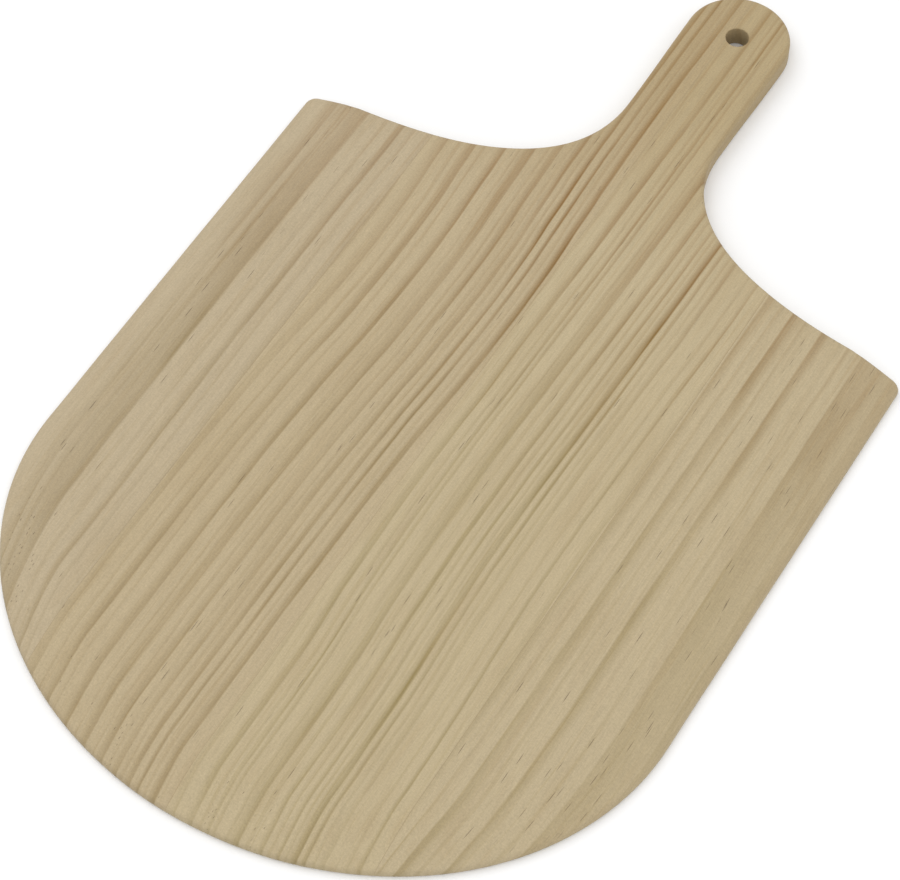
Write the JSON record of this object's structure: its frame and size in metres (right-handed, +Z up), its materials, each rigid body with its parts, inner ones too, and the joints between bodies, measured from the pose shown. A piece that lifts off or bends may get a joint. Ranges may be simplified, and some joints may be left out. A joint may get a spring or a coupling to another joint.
{
  "type": "pizza peel",
  "caption": "Flat wooden pizza peel: wide board thinned towards its round front and its sides, with a short handle and a hanging hole.",
  "frame": {"origin": "under the middle of the board's bounding box, on the plane that the underside lies on", "axes": "+X across the blade, +Y from the thinned front edge to the handle's tip, +Z up out of the top face, which is the face with the taper"},
  "size_m": [0.34, 0.546, 0.012],
  "materials": {
    "stave_left": "bare sanded pine, pale, wide soft growth rings",
    "stave_centre_left": "bare sanded pine, narrow dark growth rings",
    "stave_centre_right": "bare sanded pine, narrow growth rings",
    "stave_right": "bare sanded pine, wide growth rings",
    "wood_glue": "dried wood glue, sanded flush"
  },
  "bodies": {
    "root": {"stave_left": "stave_left", "stave_centre_left": "stave_centre_left", "stave_centre_right": "stave_centre_right", "stave_right": "stave_right", "glue_line_left": "wood_glue", "glue_line_centre": "wood_glue", "glue_line_tip": "wood_glue", "glue_line_right": "wood_glue"}
  },
  "joints": []
}
